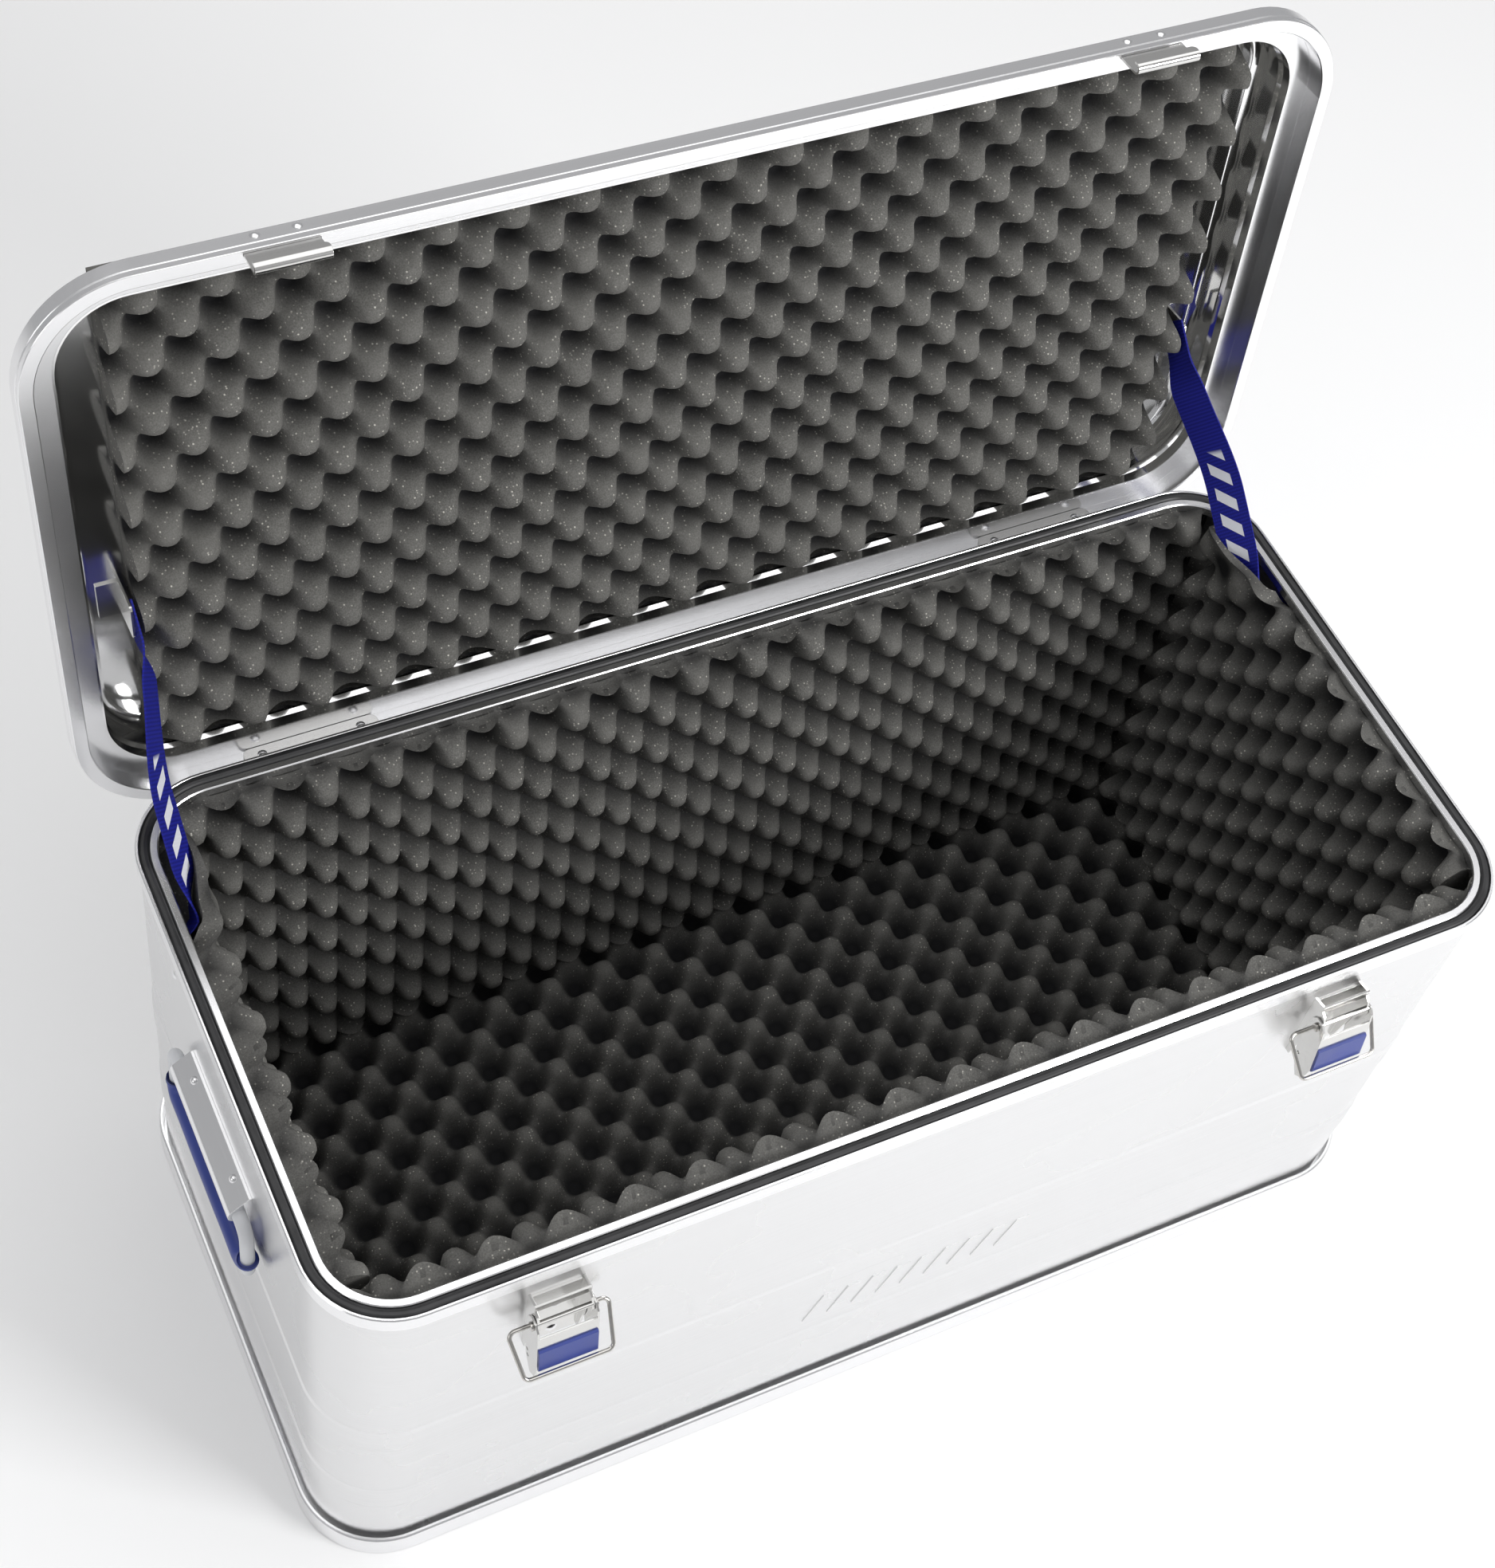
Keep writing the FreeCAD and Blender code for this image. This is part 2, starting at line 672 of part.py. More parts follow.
def make_hook():
    """Plate riveted inside the rim, out through its slot and curled up in front."""
    front = hook_plate_y()
    centre_y = front - hook_groove
    centre_z = rim_top - hook_drop
    half = hook_width / 2
    outer = hook_groove + hook_sheet
    plate = box(-half, half, front, front + hook_sheet, centre_z, lid_rim_bottom + lid_skirt - hook_gap)
    curl = rod_x(-half, half, centre_y, centre_z, outer)
    curl = curl.cut(rod_x(-half, half, centre_y, centre_z, hook_groove))
    curl = curl.cut(box(-half, half, centre_y - outer, centre_y + outer, centre_z, centre_z + outer))
    lip = box(-half, half, centre_y - outer, centre_y - hook_groove, centre_z, centre_z + hook_lip)
    ends = [e for e in lip.Edges if e.BoundBox.ZMin > centre_z + hook_lip - 0.01
            and e.BoundBox.XLength < 0.01]
    lip = lip.makeFillet(hook_lip * 0.8, ends)
    return union([plate, curl, lip])


def make_hook_rivets():
    y = lid_setback - lid_depth / 2
    z = (lid_rim_bottom + lid_rim_step + ledge_top) / 2
    heads = [rivet((dx, y, z), (0, -1, 0), radius=small_rivet_head)
             for dx in (-hook_rivet_spread, hook_rivet_spread)]
    return Part.makeCompound(heads)


# ---- handles (drawn on the left, mirrored for the right) ----------------------
handle_x = -wall_x - handle_out
handle_z = rim_top - handle_drop


def make_handle_bracket():
    half = handle_bracket_length / 2
    top = handle_z + bracket_rise
    low = handle_z - bracket_drop
    out, up = bracket_shoulder
    points = [
        (-wall_x, top), (-wall_x - bracket_top_out, top), (handle_x - out, handle_z + up),
        (handle_x, handle_z), (-wall_x - bracket_tail_out, low), (-wall_x, low),
    ]
    corners = [V(x, -half, z) for x, z in points]
    wedge = Part.Face(Part.makePolygon(corners + [corners[0]])).extrude(V(0, 2 * half, 0))
    tube = Part.makeCylinder(handle_tube_radius, 2 * half, V(handle_x, -half, handle_z), V(0, 1, 0))
    bore = Part.makeCylinder(handle_bar_radius + running_gap, 2 * half + 2,
                             V(handle_x, -half - 1, handle_z), V(0, 1, 0))
    return union([wedge, tube]).cut(bore)


def make_handle_bar():
    low = handle_z - handle_hang
    span = handle_half_span
    points = [
        V(handle_x, -span, low), V(handle_x, -span, handle_z),
        V(handle_x, span, handle_z), V(handle_x, span, low),
    ]
    return wire_rod(points, handle_bend, handle_bar_radius)


def make_handle_grip(bar):
    low = handle_z - handle_hang
    length = 2 * grip_half_length
    grip = Part.makeCylinder(grip_radius, length, V(handle_x, -grip_half_length, low), V(0, 1, 0))
    rims = [e for e in grip.Edges if e.BoundBox.YLength < 1e-6]
    grip = grip.makeFillet(grip_radius * 0.7, rims)
    for side in (-1, 1):
        collar = Part.makeCylinder(handle_bar_radius + collar_thickness, collar_length,
                                   V(handle_x, side * handle_half_span, low))
        grip = grip.fuse(collar)
    return grip.removeSplitter().cut(bar)


def make_handle_rivets():
    top = V(-wall_x - bracket_top_out, 0, handle_z + bracket_rise)
    run = V(handle_x - bracket_shoulder[0], 0, handle_z + bracket_shoulder[1]) - top
    normal = V(run.z, 0, -run.x).normalize()
    middle = top + run * 0.4
    heads = [rivet((middle.x, y, middle.z), (normal.x, 0, normal.z), handle_rivet_head, handle_rivet_dome)
             for y in (-handle_rivet_spread, handle_rivet_spread)]
    return Part.makeCompound(heads)


# ---- straps -------------------------------------------------------------------
def strap_body_z():
    return rim_top - strap_body_drop


def strap_run():
    """Direction of the taut strap, up and back."""
    rise = strap_lid_end().z - strap_body_z()
    back = strap_lid_end().y - strap_body_y
    return V(0, back, rise).normalize()


def strap_rim_x():
    """Outer face of the left strap at the rim, clear of the rim's round corner."""
    run = strap_run()
    half = strap_width / 2
    climb = strap_body_drop + half * run.y
    back_edge = strap_body_y + climb * run.y / run.z + half * run.z
    corner = body_corner - rim_width
    depth = max(0.0, back_edge - (body_depth / 2 - body_corner))
    bite = corner - math.sqrt(corner ** 2 - depth ** 2)
    return -body_width / 2 + rim_width + bite + strap_corner_gap


def strap_lid_x():
    """Strap face beside the lid's foam, in from the lid's side wall."""
    return -tray_x + wall + strap_lid_inset


def strap_lid_end():
    """Where the strap's upper rivet is once the lid is open."""
    mark = Part.Vertex(V(strap_lid_x(), strap_lid_y, ledge_bottom + strap_lid_rise))
    return opened(mark).Point


def make_strap():
    low = V(-inside_x + strap_wall_gap, strap_body_y, strap_body_z())
    high = strap_lid_end()
    run = strap_run()
    across = V(0, -run.z, run.y) * (strap_width / 2)
    extra = run * (strap_width / 2)
    thick = V(strap_thickness, 0, 0)

    def beside_rim(y):
        share = (y - low.y) / (high.y - low.y)
        return V(strap_rim_x(), y, low.z + share * (high.z - low.z))

    def section(centre):
        a, b = centre - across, centre + across
        return Part.makePolygon([a, b, b + thick, a + thick, a])

    stations = [low - extra, low + extra, beside_rim(strap_rim_y[0]), beside_rim(strap_rim_y[1]),
                high - extra, high + run * strap_lid_tail]
    return Part.makeLoft([section(point) for point in stations], True, True)


def make_strap_rivets_body():
    """Left side: a head outside the wall and a wide one over the webbing."""
    z = strap_body_z()
    inner = -inside_x + strap_wall_gap + strap_thickness
    heads = [rivet((-wall_x, strap_body_y, z), (-1, 0, 0)),
             rivet((inner, strap_body_y, z), (1, 0, 0), radius=strap_rivet_head)]
    return Part.makeCompound(heads)


def make_strap_tab():
    """Left side: angle with its foot on the lid's ceiling and its leg beside the foam."""
    face = strap_lid_x() - strap_tab_gap
    half = strap_width / 2
    low = ledge_bottom + strap_lid_rise - strap_tab_drop
    leg = box(face - strap_tab_sheet, face, strap_lid_y - half, strap_lid_y + half, low, lid_ceiling)
    corners = [e for e in leg.Edges if e.BoundBox.ZMax < low + 0.01 and e.BoundBox.YLength < 0.1]
    leg = leg.makeFillet(strap_tab_drop / 2, corners)
    foot = box(face - strap_tab_foot, face, strap_lid_y - half, strap_lid_y + half,
               lid_ceiling - strap_tab_sheet, lid_ceiling)
    return union([leg, foot])


def make_strap_rivets_lid():
    z = ledge_bottom + strap_lid_rise
    inner = strap_lid_x() + strap_thickness
    foot = strap_lid_x() - strap_tab_gap - strap_tab_foot / 2
    heads = [rivet((foot, strap_lid_y, lid_ceiling + wall), (0, 0, 1)),
             rivet((inner, strap_lid_y, z), (1, 0, 0), radius=strap_rivet_head)]
    return Part.makeCompound(heads)


def make_hinge_rivets_body():
    z = hinge_z - hinge_leaf_height * 0.6
    reach = hinge_width / 2 - hinge_rivet_inset
    heads = [rivet((x, wall_y + hinge_leaf, z), (0, 1, 0)) for x in (-reach, reach)]
    return Part.makeCompound(heads)


def make_hinge_rivets_lid():
    y = lid_skirt_inner_y() - hinge_leaf
    z = (lid_rim_bottom + ledge_bottom) / 2
    reach = hinge_width / 2 - hinge_rivet_inset + small_rivet_head
    heads = [rivet((x, y, z), (0, -1, 0), radius=small_rivet_head, height=small_rivet_dome)
             for x in (-reach, reach)]
    return Part.makeCompound(heads)


def placed(shape, x):
    moved = shape.copy()
    moved.translate(V(x, 0, 0))
    return moved


def build():
    nodes = {
        "wall_sheet": make_wall_sheet(),
        "floor_sheet": make_floor_sheet(),
        "base_profile": make_base_profile(),
        "rim_profile": make_rim_profile(),
        "rim_gasket": make_gasket(),
        "foam_floor": make_floor_foam(),
        "foam_left": make_side_foam(-1),
        "foam_right": make_side_foam(1),
        "foam_front": make_end_foam(-1),
        "foam_back": make_end_foam(1),
        "lid_rim_profile": opened(make_lid_rim()),
        "lid_tray": opened(make_lid_tray()),
        "lid_foam": opened(make_lid_foam()),
    }
    bar = make_handle_bar()
    side_fittings = {
        "handle_bracket": make_handle_bracket(),
        "handle_bar": bar,
        "handle_grip": make_handle_grip(bar),
        "handle_rivets": make_handle_rivets(),
        "strap": make_strap(),
        "strap_rivets_body": make_strap_rivets_body(),
        "strap_tab": opened(make_strap_tab()),
        "strap_rivets_lid": opened(make_strap_rivets_lid()),
    }
    latch = {
        "latch_bracket": make_latch_bracket(),
        "latch_lever": make_latch_lever(),
        "latch_insert": make_latch_insert(),
        "latch_pin": make_lever_pin(),
        "latch_bail": make_bail(),
        "latch_rivets": make_latch_rivets(),
        "hook": opened(make_hook()),
        "hook_rivets": opened(make_hook_rivets()),
    }
    hinge = {
        "hinge_leaf_body": make_hinge_leaf_body(),
        "hinge_leaf_lid": opened(make_hinge_leaf_lid()),
        "hinge_pin": make_hinge_pin(),
        "hinge_rivets_body": make_hinge_rivets_body(),
        "hinge_rivets_lid": opened(make_hinge_rivets_lid()),
    }
    for side, name in ((-1, "left"), (1, "right")):
        for part, shape in side_fittings.items():
            nodes[part + "_" + name] = mirrored(shape) if side > 0 else shape
        for part, shape in latch.items():
            nodes[part + "_" + name] = placed(shape, side * latch_place)
        for part, shape in hinge.items():
            nodes[part + "_" + name] = placed(shape, side * hinge_place)
    return nodes


def main():
    os.makedirs("parts", exist_ok=True)
    for name, shape in build().items():
        solids = shape.Solids
        volume = sum(solid.Volume for solid in solids)
        print(f"{name:22s} solids {len(solids)} valid {shape.isValid()} volume {volume / 1000:.2f} cm3")
        shape.exportStep("parts/" + name + ".step")
    print(f"hinge axis y {hinge_y:.2f} z {hinge_z:.2f}; lever pivot y {lever_y:.2f} z {lever_z:.2f}")
    print(f"bail pivot y {bail_y:.2f} z {bail_z:.2f}; handle pivot x {handle_x:.2f} z {handle_z:.2f}")


main()
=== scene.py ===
import json
import math

import bmesh
import bpy
from mathutils import Matrix, Vector, noise


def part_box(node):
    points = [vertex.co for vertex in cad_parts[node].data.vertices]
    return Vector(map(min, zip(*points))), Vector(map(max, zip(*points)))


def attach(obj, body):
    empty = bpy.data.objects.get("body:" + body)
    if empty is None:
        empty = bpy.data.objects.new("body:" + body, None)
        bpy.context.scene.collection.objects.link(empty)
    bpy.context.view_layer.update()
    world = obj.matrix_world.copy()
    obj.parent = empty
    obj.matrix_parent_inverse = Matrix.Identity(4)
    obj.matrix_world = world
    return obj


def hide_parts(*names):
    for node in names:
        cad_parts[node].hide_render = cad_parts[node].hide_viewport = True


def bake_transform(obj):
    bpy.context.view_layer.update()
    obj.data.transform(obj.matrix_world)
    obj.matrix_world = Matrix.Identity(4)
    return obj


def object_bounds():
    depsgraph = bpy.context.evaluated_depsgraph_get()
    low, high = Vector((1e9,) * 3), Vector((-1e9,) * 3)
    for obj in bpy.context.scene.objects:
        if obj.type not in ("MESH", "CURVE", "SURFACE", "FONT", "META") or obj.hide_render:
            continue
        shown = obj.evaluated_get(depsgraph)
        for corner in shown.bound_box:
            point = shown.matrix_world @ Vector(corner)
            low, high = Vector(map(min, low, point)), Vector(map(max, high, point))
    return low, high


# Aluminium transport case, open, lined with egg-crate foam.
# Metres. +X right, +Y back (hinge side), +Z up, as in the frame.

MM = 0.001
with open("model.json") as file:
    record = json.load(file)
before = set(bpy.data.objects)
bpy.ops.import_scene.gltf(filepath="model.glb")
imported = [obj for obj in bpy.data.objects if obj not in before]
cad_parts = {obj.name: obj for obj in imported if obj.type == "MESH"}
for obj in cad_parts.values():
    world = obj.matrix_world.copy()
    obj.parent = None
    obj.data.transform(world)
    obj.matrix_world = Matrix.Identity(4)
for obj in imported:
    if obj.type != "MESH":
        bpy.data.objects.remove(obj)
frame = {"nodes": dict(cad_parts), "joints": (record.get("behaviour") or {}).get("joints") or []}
cad_low, cad_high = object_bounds()

# ---- what the frame gives -----------------------------------------------------
LID_JOINT = next(j for j in frame["joints"] if j["child"] == "lid")
HINGE = Vector(LID_JOINT["pos_m"])
LID_ANGLE = math.radians(max(LID_JOINT["range_deg"], key=abs))
# Turns a piece drawn on the shut lid to where the lid stands open.
OPENED = Matrix.Translation(HINGE) @ Matrix.Rotation(-LID_ANGLE, 4, "X") @ Matrix.Translation(-HINGE)



def collection_link(thing):
    bpy.context.scene.collection.objects.link(thing)
    return thing


def piece_from(shape, name, material, sharp_degrees=35):
    """Turns a bmesh into a named piece with faces pointing outwards."""
    bmesh.ops.recalc_face_normals(shape, faces=shape.faces)
    mesh = bpy.data.meshes.new(name)
    shape.to_mesh(mesh)
    shape.free()
    mesh.shade_smooth()
    mesh.set_sharp_from_angle(angle=math.radians(sharp_degrees))
    mesh.materials.append(material)
    return collection_link(bpy.data.objects.new(name, mesh))


def shut_points(node):
    """A lid node's points once the lid is turned shut."""
    back = OPENED.inverted()
    return [back @ v.co for v in frame["nodes"][node].data.vertices]


def corners_of(points):
    low = Vector([min(p[i] for p in points) for i in range(3)])
    high = Vector([max(p[i] for p in points) for i in range(3)])
    return low, high


def soft_step(value):
    """From 0 to 1 with a soft start and end."""
    value = min(1.0, max(0.0, value))
    return value * value * (3 - 2 * value)


def ramp(value, start, length):
    """0 up to start, 1 from a length further on, soft between."""
    return soft_step((value - start) / length)


# ---- materials ----------------------------------------------------------------
def new_material(name):
    material = bpy.data.materials.new(name)
    material.use_nodes = True
    tree = material.node_tree
    return material, tree, tree.nodes["Principled BSDF"]


def add(tree, kind, inputs=None, **settings):
    """A node with its settings and the values or links of its inputs."""
    node = tree.nodes.new(kind)
    for name, value in settings.items():
        setattr(node, name, value)
    for name, value in (inputs or {}).items():
        socket = node.inputs[name]
        if isinstance(value, bpy.types.NodeSocket):
            tree.links.new(value, socket)
        else:
            socket.default_value = value
    return node


def place_on_object(tree, scale):
    coordinates = add(tree, "ShaderNodeTexCoord").outputs["Object"]
    return add(tree, "ShaderNodeMapping", {"Vector": coordinates, "Scale": scale}).outputs["Vector"]


def noise_on(tree, scale, size=1.0, detail=3.0):
    place = place_on_object(tree, scale)
    inputs = {"Vector": place, "Scale": size, "Detail": detail}
    return add(tree, "ShaderNodeTexNoise", inputs).outputs["Fac"]


def between(tree, value, low, high, from_low=0.3, from_high=0.7):
    """Spreads a 0 to 1 pattern over a narrower or wider range."""
    settings = {"Value": value, "From Min": from_low, "From Max": from_high, "To Min": low, "To Max": high}
    return add(tree, "ShaderNodeMapRange", settings).outputs["Result"]


def colour_mix(tree, factor, first, second):
    node = add(tree, "ShaderNodeMix", data_type="RGBA")
    for name, value in (("Factor", factor), ("A", first), ("B", second)):
        socket = next(s for s in node.inputs if s.name == name and s.enabled)
        if isinstance(value, bpy.types.NodeSocket):
            tree.links.new(value, socket)
        else:
            socket.default_value = value
    return next(s for s in node.outputs if s.enabled)


def bump(tree, height, strength, distance, normal=None):
    inputs = {"Height": height, "Strength": strength, "Distance": distance}
    if normal is not None:
        inputs["Normal"] = normal
    return add(tree, "ShaderNodeBump", inputs).outputs["Normal"]


def metal(name, tint, roughness, grain, grain_depth=0.03, spread=0.05, edge=0.0):
    """Bare metal with rolling lines, faint clouds in its shine and rounded edges."""
    material, tree, shader = new_material(name)
    lines = noise_on(tree, grain, 1.0, 4.0)
    clouds = noise_on(tree, (7, 7, 7), 1.0, 3.0)
    shine = between(tree, clouds, roughness - spread, roughness + spread)
    darker = tuple(0.97 * c for c in tint) + (1.0,)
    colour = colour_mix(tree, between(tree, lines, 0.0, 1.0), tint + (1.0,), darker)
    tree.links.new(colour, shader.inputs["Base Color"])
    tree.links.new(shine, shader.inputs["Roughness"])
    shader.inputs["Metallic"].default_value = 1.0
    rounded = None
    if edge:
        rounded = add(tree, "ShaderNodeBevel", {"Radius": edge}, samples=4).outputs["Normal"]
    normal = bump(tree, lines, grain_depth, 0.2 * MM, rounded)
    tree.links.new(normal, shader.inputs["Normal"])
    return material


def plastic(name, tint, roughness, texture=0.05):
    """Moulded plastic with a fine eroded skin and slightly uneven colour."""
    material, tree, shader = new_material(name)
    skin = noise_on(tree, (900, 900, 900), 1.0, 2.0)
    clouds = noise_on(tree, (30, 30, 30), 1.0, 2.0)
    paler = tuple(min(1.0, 1.18 * c) for c in tint) + (1.0,)
    colour = colour_mix(tree, between(tree, clouds, 0.0, 1.0), tint + (1.0,), paler)
    tree.links.new(colour, shader.inputs["Base Color"])
    shine = between(tree, clouds, roughness - 0.06, roughness + 0.06)
    tree.links.new(shine, shader.inputs["Roughness"])
    rounded = add(tree, "ShaderNodeBevel", {"Radius": 0.5 * MM}, samples=4).outputs["Normal"]
    tree.links.new(bump(tree, skin, texture, 0.1 * MM, rounded), shader.inputs["Normal"])
    return material


def foam_material():
    """Open-cell foam: dark grey, pitted, with pale specks painted where cell walls catch light and painted
    shade deep in its pits.
    """
    material, tree, shader = new_material("foam_cells")
    cells = noise_on(tree, (1100, 1100, 1100), 1.0, 2.0)
    coarse = noise_on(tree, (260, 260, 260), 1.0, 2.0)
    clouds = noise_on(tree, (14, 14, 14), 1.0, 2.0)
    patchy = between(tree, clouds, 0.0, 1.0)
    base = colour_mix(tree, patchy, (0.105, 0.103, 0.096, 1), (0.135, 0.132, 0.123, 1))
    # Painted glints: scattered pale specks where cell walls would catch light.
    speck_place = place_on_object(tree, (450, 450, 450))
    speck = add(tree, "ShaderNodeTexVoronoi", {"Vector": speck_place, "Scale": 1.0}, feature="F1")
    hard = add(tree, "ShaderNodeMapRange", {
        "Value": speck.outputs["Distance"], "From Min": 0.12, "From Max": 0.30,
        "To Min": 1.0, "To Max": 0.0}).outputs["Result"]
    chosen = add(tree, "ShaderNodeSeparateColor", {"Color": speck.outputs["Color"]}).outputs["Red"]
    picked = between(tree, chosen, 0.0, 1.0, 0.55, 0.95)
    shown = add(tree, "ShaderNodeMath", {0: hard, 1: picked}, operation="MULTIPLY").outputs[0]
    grained = colour_mix(tree, between(tree, cells, 0.0, 1.0, 0.35, 0.65), base, (0.17, 0.167, 0.157, 1))
    speckled = colour_mix(tree, shown, grained, (0.62, 0.60, 0.54, 1))
    # Painted shade: the rise attribute darkens the foam to near black at the bottom of each pit, and the
    # pads in the case are painted darker than the lid's.
    rise = add(tree, "ShaderNodeAttribute", attribute_name="rise").outputs["Fac"]
    painted_light_share = between(tree, rise, 0.0, 1.0, 0.04, 0.66)
    colour = colour_mix(tree, painted_light_share, (0.010, 0.010, 0.011, 1), speckled)
    tree.links.new(colour, shader.inputs["Base Color"])
    shader.inputs["Roughness"].default_value = 0.92
    shader.inputs["Specular IOR Level"].default_value = 0.25
    fine = bump(tree, cells, 0.5, 0.35 * MM)
    tree.links.new(bump(tree, coarse, 0.35, 0.7 * MM, fine), shader.inputs["Normal"])
    return material


PRINT_PERIOD = 17 * MM          # plain slanted bars on the straps
PRINT_BAR = 8 * MM
PRINT_HALF_WIDTH = 6.5 * MM
PRINT_SLANT = 0.75


def reckon(tree, operation, first, second=0.0):
    """The result of a sum on one or two values."""
    return add(tree, "ShaderNodeMath", {0: first, 1: second}, operation=operation).outputs[0]


def webbing_material():
    """Blue woven tape: ribs across, a firm edge each side and pale printed bars."""
    material, tree, shader = new_material("blue_webbing")
    along = add(tree, "ShaderNodeAttribute", attribute_name="along").outputs["Fac"]
    across = add(tree, "ShaderNodeAttribute", attribute_name="across").outputs["Fac"]
    place = add(tree, "ShaderNodeCombineXYZ", {"X": along, "Y": across}).outputs["Vector"]
    turned = add(tree, "ShaderNodeMapping", {"Vector": place, "Rotation": (0, 0, math.radians(6))})
    ribs = add(tree, "ShaderNodeTexWave", {
        "Vector": turned.outputs["Vector"], "Scale": 140.0, "Distortion": 0.2, "Detail": 1.0},
        wave_type="BANDS", bands_direction="X").outputs["Fac"]
    yarns = add(tree, "ShaderNodeTexWave", {
        "Vector": place, "Scale": 320.0, "Distortion": 0.6, "Detail": 1.0},
        wave_type="BANDS", bands_direction="Y").outputs["Fac"]
    weave = reckon(tree, "MULTIPLY", ribs, yarns)
    dyed = colour_mix(tree, weave, (0.003, 0.005, 0.16, 1), (0.008, 0.014, 0.36, 1))
    printed = add(tree, "ShaderNodeAttribute", attribute_name="printed").outputs["Fac"]
    shifted = reckon(tree, "ADD", along, reckon(tree, "MULTIPLY", across, PRINT_SLANT))
    bar = reckon(tree, "LESS_THAN", reckon(tree, "MODULO", shifted, PRINT_PERIOD), PRINT_BAR)
    inner = reckon(tree, "LESS_THAN", reckon(tree, "ABSOLUTE", across), PRINT_HALF_WIDTH)
    mark = reckon(tree, "MULTIPLY", reckon(tree, "MULTIPLY", bar, inner), printed)
    colour = colour_mix(tree, mark, dyed, (0.72, 0.73, 0.78, 1))
    tree.links.new(colour, shader.inputs["Base Color"])
    shader.inputs["Roughness"].default_value = 0.68
    shader.inputs["Specular IOR Level"].default_value = 0.3
    tree.links.new(bump(tree, weave, 0.6, 0.3 * MM), shader.inputs["Normal"])
    return material


def rubber_material():
    """Black sealing strip with a faint dusty bloom along its crown."""
    material, tree, shader = new_material("black_rubber")
    bloom = noise_on(tree, (60, 60, 300), 1.0, 3.0)
    dusty = between(tree, bloom, 0.0, 1.0)
    colour = colour_mix(tree, dusty, (0.012, 0.012, 0.013, 1), (0.035, 0.035, 0.037, 1))
    tree.links.new(colour, shader.inputs["Base Color"])
    tree.links.new(between(tree, bloom, 0.38, 0.55), shader.inputs["Roughness"])
    skin = noise_on(tree, (1500, 1500, 1500), 1.0, 2.0)
    tree.links.new(bump(tree, skin, 0.12, 0.1 * MM), shader.inputs["Normal"])
    return material


def floor_material():
    """Pale matt floor with the faintest unevenness."""
    material, tree, shader = new_material("studio_floor")
    grain = noise_on(tree, (2, 2, 2), 1.0, 2.0)
    colour = colour_mix(tree, grain, (0.92, 0.92, 0.92, 1), (0.95, 0.95, 0.95, 1))
    tree.links.new(colour, shader.inputs["Base Color"])
    shader.inputs["Roughness"].default_value = 0.9
    return material


ALONG_WALLS = (3, 3, 900)       # rolling lines run round the case
ALONG_X = (3, 900, 900)
ALONG_Y = (900, 3, 900)

SHEET = metal("satin_sheet", (0.76, 0.76, 0.765), 0.28, ALONG_WALLS, 0.006, 0.03)
LID_SHEET = metal("lid_sheet", (0.88, 0.88, 0.88), 0.11, ALONG_X, 0.006, 0.04)
PROFILE = metal("extruded_profile", (0.88, 0.88, 0.89), 0.22, ALONG_WALLS, 0.015, 0.04, 0.3 * MM)
LATCH_STEEL = metal("latch_steel", (0.66, 0.655, 0.64), 0.16, ALONG_X, 0.004, 0.03, 0.3 * MM)
WIRE = metal("bright_wire", (0.56, 0.545, 0.52), 0.12, ALONG_X, 0.004, 0.03)
RIVET_METAL = metal("rivet_metal", (0.78, 0.78, 0.79), 0.20, (300, 300, 300), 0.03, 0.05)
HANDLE_SHEET = metal("handle_sheet", (0.86, 0.86, 0.87), 0.22, ALONG_Y, 0.01, 0.04, 0.4 * MM)
COATED_BAR = plastic("coated_bar", (0.58, 0.59, 0.61), 0.34, 0.04)
BLUE_PLASTIC = plastic("blue_plastic", (0.022, 0.040, 0.22), 0.36, 0.08)
RUBBER = rubber_material()
FOAM = foam_material()
WEBBING = webbing_material()


# ---- CAD nodes keep their shapes and take these finishes ----------------------
def finish_nodes():
    finishes = {
        "wall_sheet": SHEET, "floor_sheet": SHEET, "base_profile": PROFILE,
        "rim_profile": PROFILE, "rim_gasket": RUBBER, "lid_rim_profile": PROFILE,
        "lid_tray": LID_SHEET,
    }
    for side in ("left", "right"):
        finishes.update({
            "handle_bracket_" + side: HANDLE_SHEET, "handle_bar_" + side: COATED_BAR,
            "latch_bracket_" + side: LATCH_STEEL,
            "latch_lever_" + side: LATCH_STEEL, "latch_insert_" + side: BLUE_PLASTIC,
            "latch_pin_" + side: WIRE, "latch_bail_" + side: WIRE,
            "hinge_leaf_body_" + side: LATCH_STEEL,
            "hinge_leaf_lid_" + side: LATCH_STEEL, "hinge_pin_" + side: WIRE,
            "hook_" + side: LATCH_STEEL, "strap_tab_" + side: LATCH_STEEL,
        })
    for node in frame["nodes"]:
        if "_rivets" in node:
            finishes[node] = RIVET_METAL
    for node, material in finishes.items():
        thing = frame["nodes"][node]
        thing.data.materials.clear()
        thing.data.materials.append(material)
        thing.data.shade_smooth()
        thing.data.set_sharp_from_angle(angle=math.radians(30))


# ---- egg-crate foam -----------------------------------------------------------
FINGER_PERIOD = 40 * MM         # one finger and one pit, along and across
FINGER_BASE = 7.0 * MM          # solid foam under the pits
FINGER_WANDER = 0.6 * MM        # how uneven the pits are
WANDER_PER_METRE = 22
WANDER_PER_THICKNESS = 300      # gives pads of another thickness another pattern
FOAM_STEP = 2.6 * MM            # squares of a pad's mesh
FOAM_SKIN = 3 * MM              # depth over which a pressed-in stretch eases
FOAM_SWELL = 6.5 * MM           # wall pads swell up beside the rim's inner lip
FOAM_STRAIGHT = 127 * MM        # half an end pad, from its middle to its round corner
CASE_PAINTED_SHADE = 0.72                # painted shade: finger tips of the pads in the case, painted darker than the lid's
LID_PAINTED_LIGHT = 1.0
BACK_PAINTED_SHADE = 0.6                 # painted shade on a pad's back, as a share of its tips
